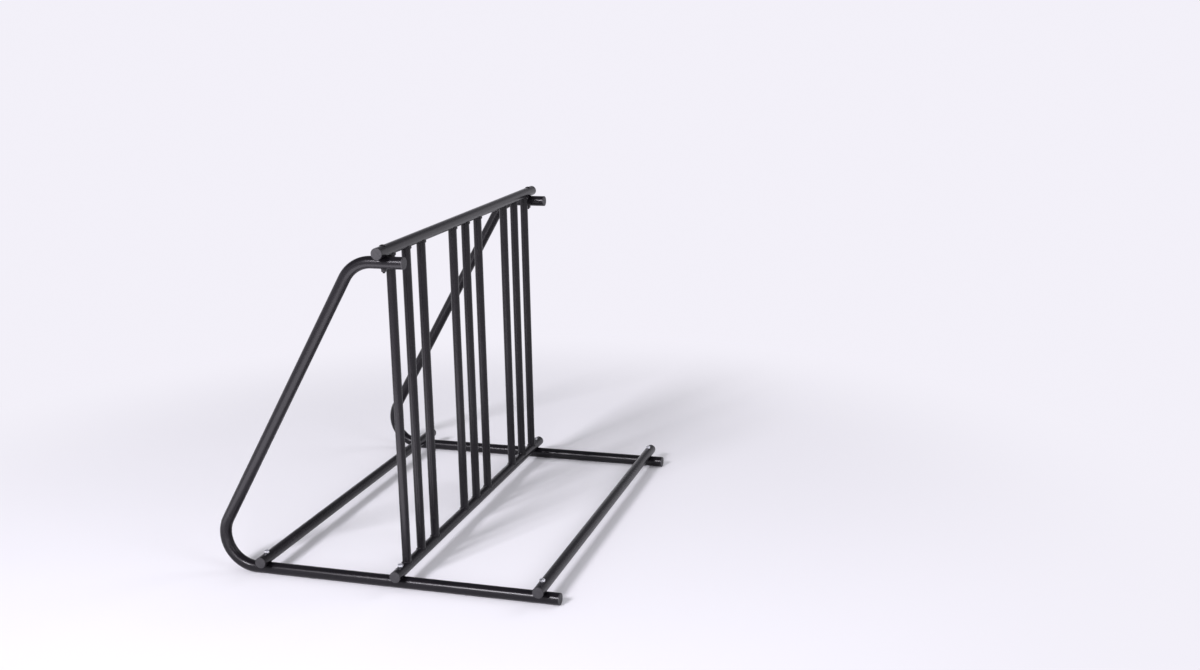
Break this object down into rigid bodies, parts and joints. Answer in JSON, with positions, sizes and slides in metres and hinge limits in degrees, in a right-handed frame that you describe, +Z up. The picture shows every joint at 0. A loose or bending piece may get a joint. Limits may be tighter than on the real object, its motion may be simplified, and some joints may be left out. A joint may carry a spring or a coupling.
{
  "type": "floor bike rack",
  "caption": "Free-standing floor rack of bent round tube: side frames and crossbars carry rows of upright bars, and a bicycle wheel stands in the slot between two bars.",
  "frame": {"origin": "on the floor, at the centre of the footprint's bounding box", "axes": "+X towards the open front ends of the base tubes, where a bicycle rolls in; +Y towards the left side frame, along the crossbars; +Z up"},
  "size_m": [0.7722, 0.932, 0.729],
  "materials": {
    "powder_coat": "satin black powder coat",
    "plug_plastic": "matte black moulded plastic",
    "black_steel": "black oxide, oiled",
    "zinc_plate": "bright zinc plate"
  },
  "bodies": {
    "root": {"side_frame_right": "powder_coat", "side_frame_left": "powder_coat", "crossbar_rear": "powder_coat", "crossbar_middle": "powder_coat", "crossbar_front": "powder_coat", "crossbar_top": "powder_coat", "upright_bar_1": "powder_coat", "upright_bar_2": "powder_coat", "upright_bar_3": "powder_coat", "upright_bar_4": "powder_coat", "upright_bar_5": "powder_coat", "upright_bar_6": "powder_coat", "upright_bar_7": "powder_coat", "upright_bar_8": "powder_coat", "upright_bar_9": "powder_coat", "welds_lower": "powder_coat", "welds_upper": "powder_coat", "plug_base_right": "plug_plastic", "plug_base_left": "plug_plastic", "plug_top_run_right": "plug_plastic", "plug_top_run_left": "plug_plastic", "plug_crossbar_rear_right": "plug_plastic", "plug_crossbar_rear_left": "plug_plastic", "plug_crossbar_middle_right": "plug_plastic", "plug_crossbar_middle_left": "plug_plastic", "plug_crossbar_front_right": "plug_plastic", "plug_crossbar_front_left": "plug_plastic", "plug_crossbar_top_right": "plug_plastic", "plug_crossbar_top_left": "plug_plastic", "base_bolts": "zinc_plate", "top_bolts": "black_steel", "base_washers": "black_steel", "top_washers": "black_steel", "base_nuts": "zinc_plate", "top_nuts": "black_steel"}
  },
  "joints": []
}
